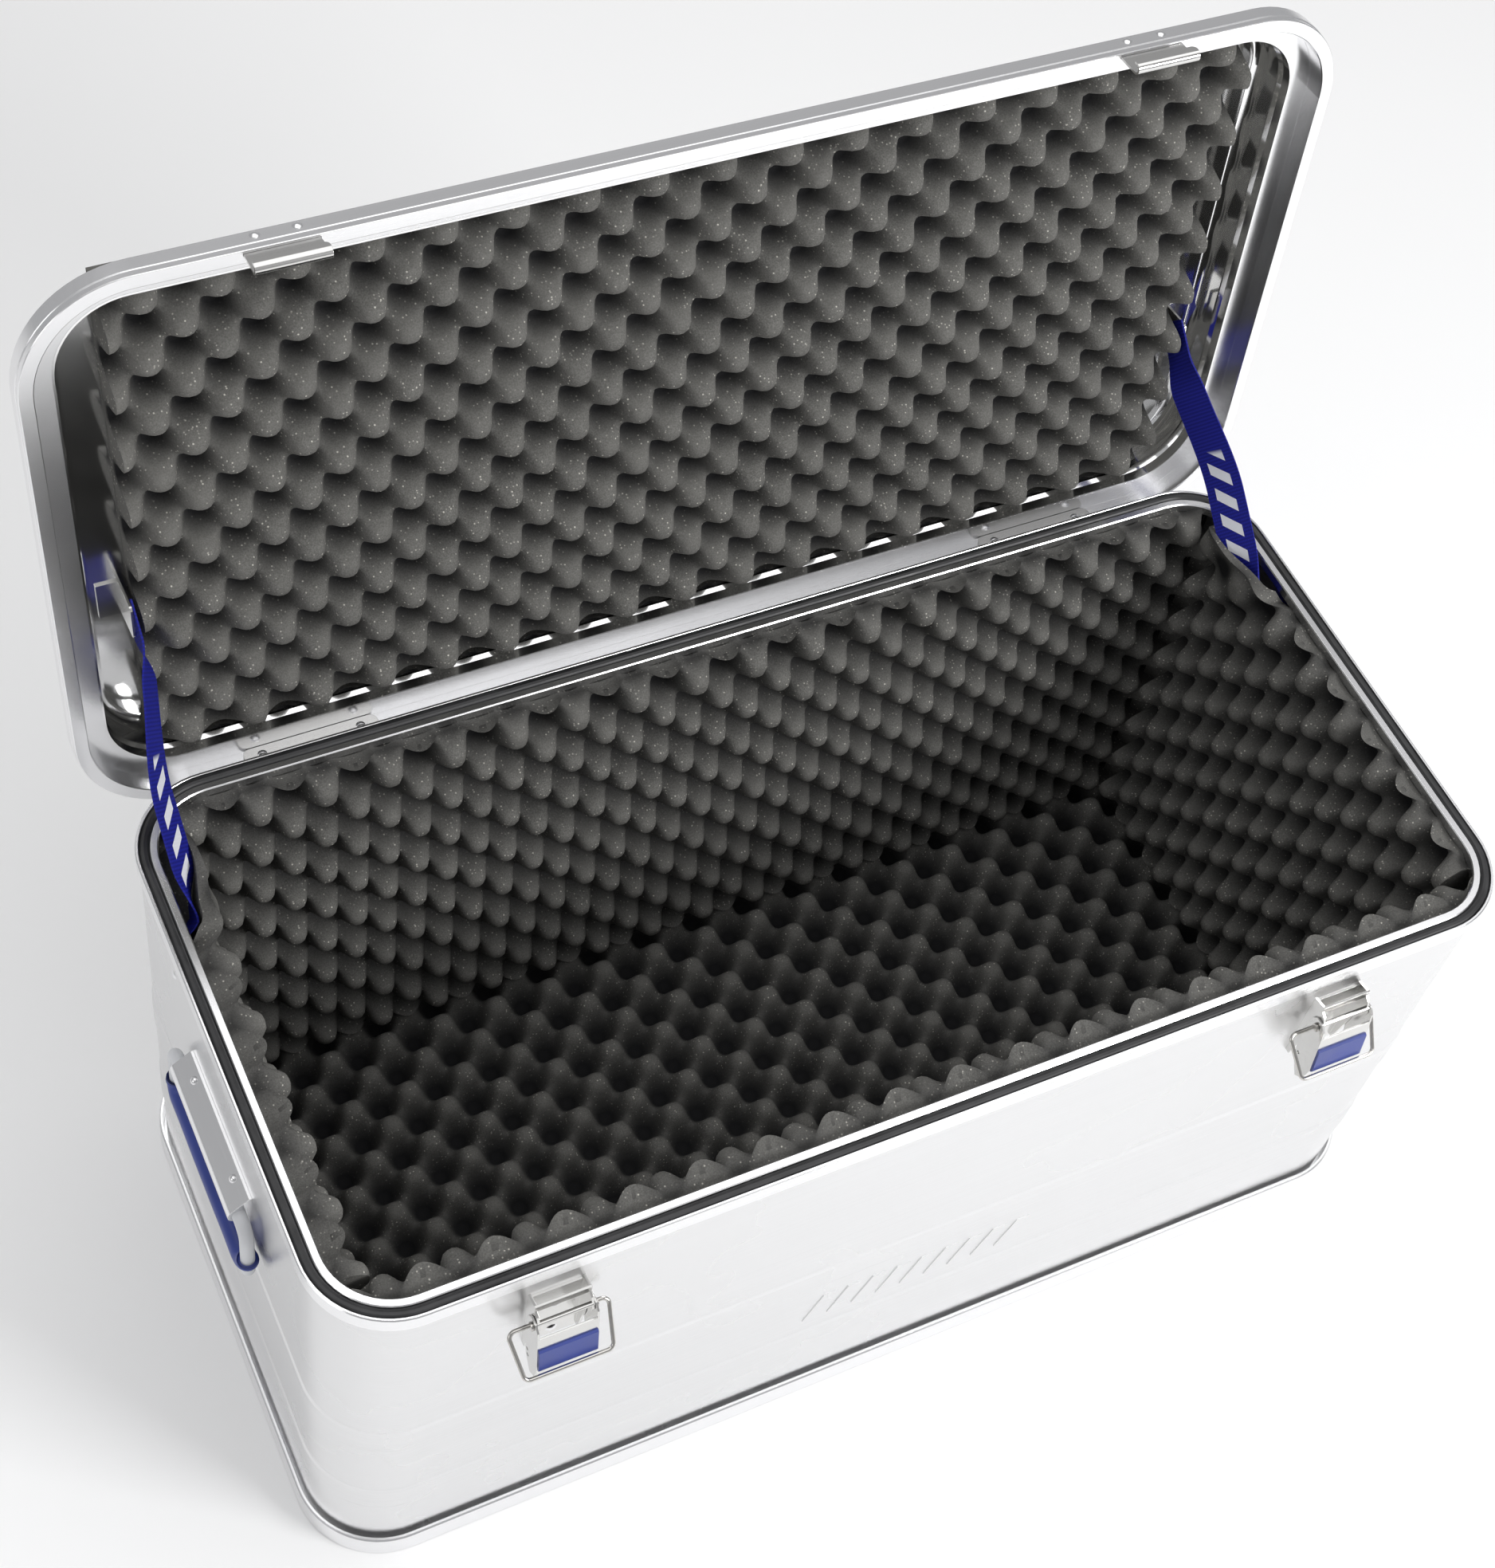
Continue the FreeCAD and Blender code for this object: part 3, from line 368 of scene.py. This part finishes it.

# Where a wall pad swells: depth from the wall, that depth's ease, and height below its top.
FRONT_SWELL = (11 * MM, 7 * MM, 30 * MM)
BACK_SWELL = (9 * MM, 6 * MM, 10 * MM)
BACK_SINK = 0.5                 # the back sinks by this share of the swell under the lip


def finger_height(u, v, thickness):
    """Height of the foam surface: staggered round fingers and deep pits."""
    turn = 2 * math.pi / FINGER_PERIOD
    wave = math.cos(turn * u) * math.cos(turn * v)
    rounded = math.sin(math.pi / 2 * wave)
    spot = Vector((u * WANDER_PER_METRE, v * WANDER_PER_METRE, thickness * WANDER_PER_THICKNESS))
    tall = thickness - FINGER_BASE - FINGER_WANDER
    height = FINGER_BASE + tall * (0.5 + 0.5 * rounded)
    return height + FINGER_WANDER * noise.noise(spot) * (0.5 - 0.5 * rounded)


def foam_pad(name, node, size, thickness, place, squeeze=None, keep=None, swell=0.0,
             tone=CASE_PAINTED_SHADE):
    """A pad drawn flat, fingers up, then put in place by a matrix."""
    width, length = size
    across = round(width / FOAM_STEP)
    along = round(length / FOAM_STEP)
    shape = bmesh.new()
    rise = shape.verts.layers.float.new("rise")
    bmesh.ops.create_grid(shape, x_segments=across, y_segments=along, size=0.5)
    bmesh.ops.scale(shape, vec=(width, length, 1), verts=shape.verts)
    top = list(shape.verts)
    skirt = bmesh.ops.extrude_face_region(shape, geom=list(shape.faces), use_keep_orig=True)
    backing = [item for item in skirt["geom"] if isinstance(item, bmesh.types.BMVert)]
    for vertex in top:
        u, v = vertex.co.x, vertex.co.y
        height = finger_height(u, v, thickness)
        # Painted shade: rise runs from 0 in a pit to the pad's painted tone at a tip; the foam material
        # darkens its colour by it.
        vertex[rise] = tone * (height - FINGER_BASE) / (thickness - FINGER_BASE)
        need = squeeze(u, v) if squeeze else 0.0
        skin = need + FOAM_SKIN * ramp(need, 0, FOAM_SKIN)
        vertex.co.z = skin + (thickness - skin) * height / thickness
        depth, ease, below_top = FRONT_SWELL
        clear_of_lip = ramp(vertex.co.z, depth, ease)
        vertex.co.y += swell * clear_of_lip * ramp(v, length / 2 - below_top, below_top)
    for vertex in backing:
        u, v = vertex.co.x, vertex.co.y
        # Painted shade: a pad's back gets a fixed share of its tips' painted light.
        vertex[rise] = BACK_PAINTED_SHADE * tone
        vertex.co.z = squeeze(u, v) if squeeze else 0.0
        depth, ease, below_top = BACK_SWELL
        clear_of_lip = ramp(vertex.co.z, depth, ease)
        near_top = ramp(v, length / 2 - below_top, below_top)
        vertex.co.y += swell * near_top * ((1 + BACK_SINK) * clear_of_lip - BACK_SINK)
    bmesh.ops.transform(shape, matrix=place, verts=shape.verts)
    if keep:
        for vertex in shape.verts:
            vertex.co = keep(vertex.co)
    piece = piece_from(shape, name, FOAM, 60)
    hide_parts(node)
    return piece


def axes(u, v, w, origin):
    """A matrix whose columns are the pad's own directions."""
    columns = Matrix((u, v, w)).transposed().to_4x4()
    return Matrix.Translation(origin) @ columns


STRAP_WIDTH = 25 * MM
STRAP_THICKNESS = 1.4 * MM
STRAP_FACE = 0.4                # each face's lift from the middle, as a share of the thickness
STRAP_CUP = 0.35 * MM           # how far its middle is cupped in from its edges
STRAP_ROW = 3 * MM              # length of one row of its mesh
STRAP_COLUMNS = 8
STRAP_TAIL = 9 * MM             # webbing past the upper rivet
STRAP_INSET = 17.7 * MM         # how far the strap stands in from the wall at the rim
TAB_GAP = 0.1 * MM
RIVET_HEAD = 2 * MM             # how deep a lid rivet's head reaches

# Distances up a strap from the middle of its lower rivet.
PAST_RIM = 28 * MM              # it has come in past the rim and starts to twist
TWISTED_AFTER = 32 * MM         # from there to its full twist
TURNS_OUT = 93 * MM             # it starts back out to its lid tab
TWIST_EASES = 75 * MM
TWIST_EASE_ENDS = 115 * MM      # less than the span, from where the twist eases
CUPPED_AFTER = 30 * MM
PRINTED = (46 * MM, 122 * MM)

# Distances back from the middle of its upper rivet.
FLATTENS = 40 * MM
FLAT_AFTER = 27 * MM

STRAP_TWIST = math.radians(36)  # where it leaves the rim's round corner
TWIST_LOST = 0.28               # share of the twist lost as it eases
TWIST_AXIS = 3 * MM             # the line it twists about, off its middle

# How the strap presses the side pad behind it.
PRESS_HALF_WIDTH = 14 * MM
PRESS_FADES = 22 * MM
PRESS_STARTS = 24 * MM          # below the lower rivet
PRESS_GROWS = 10 * MM
PRESS_LOOK = 4 * MM             # looks this far up and down the strap for its deepest reach
PRESS_CLEAR = 1.2 * MM


def shut_rivet(node):
    """Middle of the lid rivet's head that holds the webbing, lid shut."""
    points = shut_points(node)
    inner = min(abs(p.x) for p in points)
    low, high = corners_of([p for p in points if abs(p.x) < inner + RIVET_HEAD])
    return (low + high) / 2


class StrapRoute:
    """Where a strap runs: up its rivet, in past the rim, back and up to its lid rivet."""

    def __init__(self, side, name):
        self.side = side
        body_low, body_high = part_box("strap_rivets_body_" + name)
        low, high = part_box("strap_" + name)
        self.start = (body_low + body_high) / 2
        finish = OPENED @ shut_rivet("strap_rivets_lid_" + name)
        self.start.x = finish.x = 0.0
        self.run = (finish - self.start).normalized()
        self.cross = Vector((0, -self.run.z, self.run.y))
        self.span = (finish - self.start).length
        wall = max(abs(low.x), abs(high.x))
        tab_low, tab_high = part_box("strap_tab_" + name)
        in_lid = (tab_high.x if side < 0 else tab_low.x) * side - TAB_GAP
        at_rim = wall - STRAP_INSET
        half = STRAP_WIDTH / 2
        self.stations = (
            (-half, wall), (half, wall), (PAST_RIM, at_rim), (TURNS_OUT, at_rim),
            (self.span - half, in_lid), (self.span + STRAP_TAIL, in_lid),
        )

    def outward(self, distance):
        """How far out from the middle of the case the strap's outer face is."""
        for (a, first), (b, second) in zip(self.stations, self.stations[1:]):
            if distance <= b:
                return first + (second - first) * ramp(distance, a, b - a)
        return self.stations[-1][1]

    def flattened(self, distance):
        """1 where the strap lies flat on its lid tab."""
        return ramp(distance, self.span - FLATTENS, FLAT_AFTER)

    def turn(self, distance):
        """The back edge is pushed in where the strap leaves the rim's round corner."""
        rise = ramp(distance, PAST_RIM, TWISTED_AFTER)
        ease = 1 - TWIST_LOST * ramp(distance, TWIST_EASES, self.span - TWIST_EASE_ENDS)
        return STRAP_TWIST * rise * ease * (1 - self.flattened(distance))

    def point(self, distance, offset, lift=0.0):
        """A point of the tape; lift is out from the middle of its thickness."""
        angle = self.turn(distance)
        bowed = STRAP_CUP * (1 - (2 * offset / STRAP_WIDTH) ** 2)
        cupped = bowed * ramp(distance, 0, CUPPED_AFTER) * (1 - self.flattened(distance))
        reach = self.outward(distance) - STRAP_THICKNESS / 2 - cupped
        reach += (offset - TWIST_AXIS) * math.sin(angle) + lift * math.cos(angle)
        sideways = offset * math.cos(angle) - lift * math.sin(angle)
        place = self.start + self.run * distance + self.cross * sideways
        place.x = self.side * reach
        return place

    def press(self, y, z):
        """How far the strap pushes the foam off the wall at a point of the side pad."""
        away = Vector((0, y, z)) - self.start
        distance = away.dot(self.run)
        offset = abs(away.dot(self.cross))
        beside = 1 - ramp(offset, PRESS_HALF_WIDTH, PRESS_FADES)
        depth_of_twist = abs(math.sin(self.turn(distance))) * STRAP_WIDTH / 2
        below = ramp(distance, -PRESS_STARTS, PRESS_GROWS)
        reach = min(self.outward(distance - PRESS_LOOK), self.outward(distance + PRESS_LOOK))
        depth = self.stations[0][1] - reach + STRAP_THICKNESS + PRESS_CLEAR
        return (depth + depth_of_twist) * beside * below


def make_foam():
    x, y, z = Vector((1, 0, 0)), Vector((0, 1, 0)), Vector((0, 0, 1))
    low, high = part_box("foam_floor")
    reach_x, reach_y = high.x, high.y
    corner = reach_y - FOAM_STRAIGHT

    def keep(point):
        """Draws a point in to the case's round corners."""
        out_x = abs(point.x) - (reach_x - corner)
        out_y = abs(point.y) - (reach_y - corner)
        away = math.hypot(out_x, out_y)
        if out_x <= 0 or out_y <= 0 or away <= corner:
            return point
        share = corner / away
        return Vector((
            math.copysign(reach_x - corner + out_x * share, point.x),
            math.copysign(reach_y - corner + out_y * share, point.y),
            point.z,
        ))

    centre = (low + high) / 2
    size = (high.x - low.x, high.y - low.y)
    place = axes(x, y, z, Vector((centre.x, centre.y, low.z)))
    floor = foam_pad("foam_floor_pad", "foam_floor", size, high.z - low.z, place, keep=keep)
    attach(floor, "case")

    for side, name in ((-1, "left"), (1, "right")):
        low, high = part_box("foam_" + name)
        centre = (low + high) / 2
        origin = Vector((low.x if side < 0 else high.x, centre.y, centre.z))
        size = (high.y - low.y, high.z - low.z)
        route = StrapRoute(side, name)

        def squeeze(u, v):
            return route.press(centre.y - side * u, centre.z + v)

        place = axes(y * -side, z, x * -side, origin)
        pad = foam_pad("foam_%s_pad" % name, "foam_" + name, size, high.x - low.x, place,
                       squeeze=squeeze, keep=keep, swell=FOAM_SWELL)
        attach(pad, "case")

    for side, name in ((-1, "front"), (1, "back")):
        low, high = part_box("foam_" + name)
        centre = (low + high) / 2
        origin = Vector((centre.x, low.y if side < 0 else high.y, centre.z))
        size = (2 * reach_x, high.z - low.z)
        place = axes(x * -side, z, y * -side, origin)
        pad = foam_pad("foam_%s_pad" % name, "foam_" + name, size, high.y - low.y, place,
                       keep=keep, swell=FOAM_SWELL)
        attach(pad, "case")

    low, high = corners_of(shut_points("lid_foam"))
    centre = (low + high) / 2
    size = (high.x - low.x, high.y - low.y)
    place = OPENED @ axes(x, -y, -z, Vector((centre.x, centre.y, high.z)))
    pad = foam_pad("lid_foam_pad", "lid_foam", size, high.z - low.z, place, tone=LID_PAINTED_LIGHT)
    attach(pad, "lid")


# ---- straps -------------------------------------------------------------------
def make_straps():
    """Webbing from a rivet inside the wall, past the rim, to a rivet in the lid."""
    for side, name in ((-1, "left"), (1, "right")):
        route = StrapRoute(side, name)
        total = route.span + STRAP_WIDTH / 2 + STRAP_TAIL
        rows = round(total / STRAP_ROW)
        shape = bmesh.new()
        layers = {key: shape.verts.layers.float.new(key) for key in ("along", "across", "printed")}
        bmesh.ops.create_grid(shape, x_segments=rows, y_segments=STRAP_COLUMNS, size=0.5)
        grown = bmesh.ops.extrude_face_region(shape, geom=list(shape.faces), use_keep_orig=True)
        inner = {item for item in grown["geom"] if isinstance(item, bmesh.types.BMVert)}
        for vertex in shape.verts:
            distance = (vertex.co.x + 0.5) * total - STRAP_WIDTH / 2
            offset = vertex.co.y * STRAP_WIDTH
            vertex[layers["along"]] = distance
            vertex[layers["across"]] = offset
            vertex[layers["printed"]] = 1.0 if PRINTED[0] < distance < PRINTED[1] else 0.0
            lift = STRAP_THICKNESS * (-STRAP_FACE if vertex in inner else STRAP_FACE)
            vertex.co = route.point(distance, offset, lift)
        piece = piece_from(shape, "webbing_strap_" + name, WEBBING, 60)
        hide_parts("strap_" + name)
        marks = [total * row / rows - STRAP_WIDTH / 2 for row in range(rows + 1)]
        path = [route.point(mark, 0.0) for mark in marks]
        cut_length = sum((b - a).length for a, b in zip(path, path[1:]))
        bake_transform(piece)


# ---- handle sleeves -----------------------------------------------------------
SLEEVE_BEND = 10 * MM           # middle line's radius round each bottom corner of the bar
SLEEVE_BEND_STEPS = 8
SLEEVE_END = 0.88               # thickness at its ends, as a share of its middle
# Rounded end: how far down from the top, and the share of the full radius.
SLEEVE_ENDING = ((0.0, 0.80), (0.6 * MM, 0.90), (1.6 * MM, 0.93), (3.2 * MM, SLEEVE_END))
# Along the bottom: place as a share of the half length, and the share of the full radius.
SLEEVE_MIDDLE = ((-0.6, 0.98), (-0.25, 1.0), (0.25, 1.0), (0.6, 0.98))


def swept_tube(stations, sides=20):
    """A closed tube through (point, direction, radius) stations."""
    shape = bmesh.new()
    made = bmesh.ops.create_circle(shape, cap_ends=True, segments=sides, radius=1.0)
    rings = [made["verts"]]
    loop = list(shape.edges)
    for _ in stations[1:]:
        grown = bmesh.ops.extrude_edge_only(shape, edges=loop)
        loop = [item for item in grown["geom"] if isinstance(item, bmesh.types.BMEdge)]
        rings.append([item for item in grown["geom"] if isinstance(item, bmesh.types.BMVert)])
    bmesh.ops.contextual_create(shape, geom=loop)
    for ring, (point, direction, radius) in zip(rings, stations):
        turn = direction.to_track_quat("Z", "X").to_matrix().to_4x4()
        place = Matrix.Translation(point) @ turn @ Matrix.Diagonal((radius, radius, 1, 1))
        bmesh.ops.transform(shape, matrix=place, verts=ring)
    return shape


def make_grips():
    """Soft blue sleeve moulded round the bottom of each handle bar, up past its bends."""
    for side, name in ((-1, "left"), (1, "right")):
        bar_low, bar_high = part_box("handle_bar_" + name)
        grip_low, grip_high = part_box("handle_grip_" + name)
        x = (bar_low.x + bar_high.x) / 2
        bar_radius = (bar_high.x - bar_low.x) / 2
        radius = (grip_high.x - grip_low.x) / 2
        level = bar_low.z + bar_radius
        reach = bar_high.y - bar_radius
        top = grip_high.z
        stations = []
        for down, share in SLEEVE_ENDING:
            stations.append((Vector((x, -reach, top - down)), Vector((0, 0, -1)), radius * share))
        for step in range(SLEEVE_BEND_STEPS + 1):
            angle = math.pi / 2 * step / SLEEVE_BEND_STEPS
            in_from_side = SLEEVE_BEND - SLEEVE_BEND * math.cos(angle)
            up_from_level = SLEEVE_BEND - SLEEVE_BEND * math.sin(angle)
            place = Vector((x, -reach + in_from_side, level + up_from_level))
            heading = Vector((0, math.sin(angle), -math.cos(angle)))
            share = SLEEVE_END + (1 - SLEEVE_END) * ramp(step, 0, SLEEVE_BEND_STEPS)
            stations.append((place, heading, radius * share))
        mirror = [(Vector((x, -p.y, p.z)), Vector((0, d.y, -d.z)), r) for p, d, r in reversed(stations)]
        middle = [(Vector((x, y * reach, level)), Vector((0, 1, 0)), radius * swell)
                  for y, swell in SLEEVE_MIDDLE]
        tube = swept_tube(stations + middle + mirror)
        sleeve = piece_from(tube, "handle_sleeve_" + name, BLUE_PLASTIC, 50)
        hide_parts("handle_grip_" + name)
        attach(sleeve, "handle_" + name)


# ---- studio -------------------------------------------------------------------
def make_studio():
    """A pale floor, an even sky and three soft lamps."""
    shape = bmesh.new()
    bmesh.ops.create_grid(shape, x_segments=1, y_segments=1, size=8.0)
    bmesh.ops.translate(shape, vec=(0, 0, -0.2 * MM), verts=shape.verts)
    floor = piece_from(shape, "floor", floor_material())

    world = bpy.data.worlds.new("studio")
    bpy.context.scene.world = world
    world.use_nodes = True
    tree = world.node_tree
    way = add(tree, "ShaderNodeTexCoord").outputs["Generated"]
    parts = add(tree, "ShaderNodeSeparateXYZ", {"Vector": way})
    height = add(tree, "ShaderNodeMapRange", {
        "Value": parts.outputs["Z"], "From Min": -0.1, "From Max": 0.7, "To Min": 0.0, "To Max": 1.0})
    tone = colour_mix(tree, height.outputs["Result"], (0.86, 0.87, 0.89, 1), (0.95, 0.95, 0.96, 1))
    tree.links.new(tone, tree.nodes["Background"].inputs["Color"])
    tree.nodes["Background"].inputs["Strength"].default_value = 0.46

    def lamp(name, energy, size, place, target):
        light = bpy.data.lights.new(name, "AREA")
        light.energy = energy
        light.shape = "RECTANGLE"
        light.size, light.size_y = size
        thing = collection_link(bpy.data.objects.new(name, light))
        thing.location = place
        thing.rotation_euler = (Vector(target) - Vector(place)).to_track_quat("-Z", "Y").to_euler()

    middle = (cad_low + cad_high) / 2
    lamp("softbox_top", 74.0, (5.0, 4.0), middle + Vector((0.2, 0.3, 3.4)), middle)
    lamp("softbox_right", 42.0, (1.0, 0.7), middle + Vector((1.3, -1.9, 1.15)), middle)
    lamp("softbox_left", 7.0, (1.6, 1.2), middle + Vector((-2.4, -0.5, 1.1)), middle)


CAMERA_TARGET = Vector((10, 118, 250)) * MM
CAMERA_DISTANCE = 1694.4 * MM
CAMERA_AZIMUTH = math.radians(35.68)
CAMERA_ELEVATION = math.radians(54.34)
CAMERA_ROLL = math.radians(12.73)
CAMERA_LENS = 61.16             # millimetres, on a sensor 36 wide
CAMERA_SENSOR = 36.0


def make_camera():
    """Looks down at the open case from its front left corner."""
    level = Vector((math.sin(CAMERA_AZIMUTH), math.cos(CAMERA_AZIMUTH), 0))
    forward = level * math.cos(CAMERA_ELEVATION) - Vector((0, 0, math.sin(CAMERA_ELEVATION)))
    level_right = forward.cross(Vector((0, 0, 1))).normalized()
    level_up = level_right.cross(forward)
    right = level_right * math.cos(CAMERA_ROLL) + level_up * math.sin(CAMERA_ROLL)
    up = right.cross(forward)
    data = bpy.data.cameras.new("camera")
    data.lens = CAMERA_LENS
    data.sensor_width = CAMERA_SENSOR
    data.clip_start, data.clip_end = 0.05, 60.0
    camera = collection_link(bpy.data.objects.new("camera", data))
    camera.matrix_world = axes(right, up, -forward, CAMERA_TARGET - forward * CAMERA_DISTANCE)
    bpy.context.scene.camera = camera
    bpy.context.scene.view_settings.view_transform = "Standard"


finish_nodes()
make_foam()
make_straps()
make_grips()
make_studio()
make_camera()
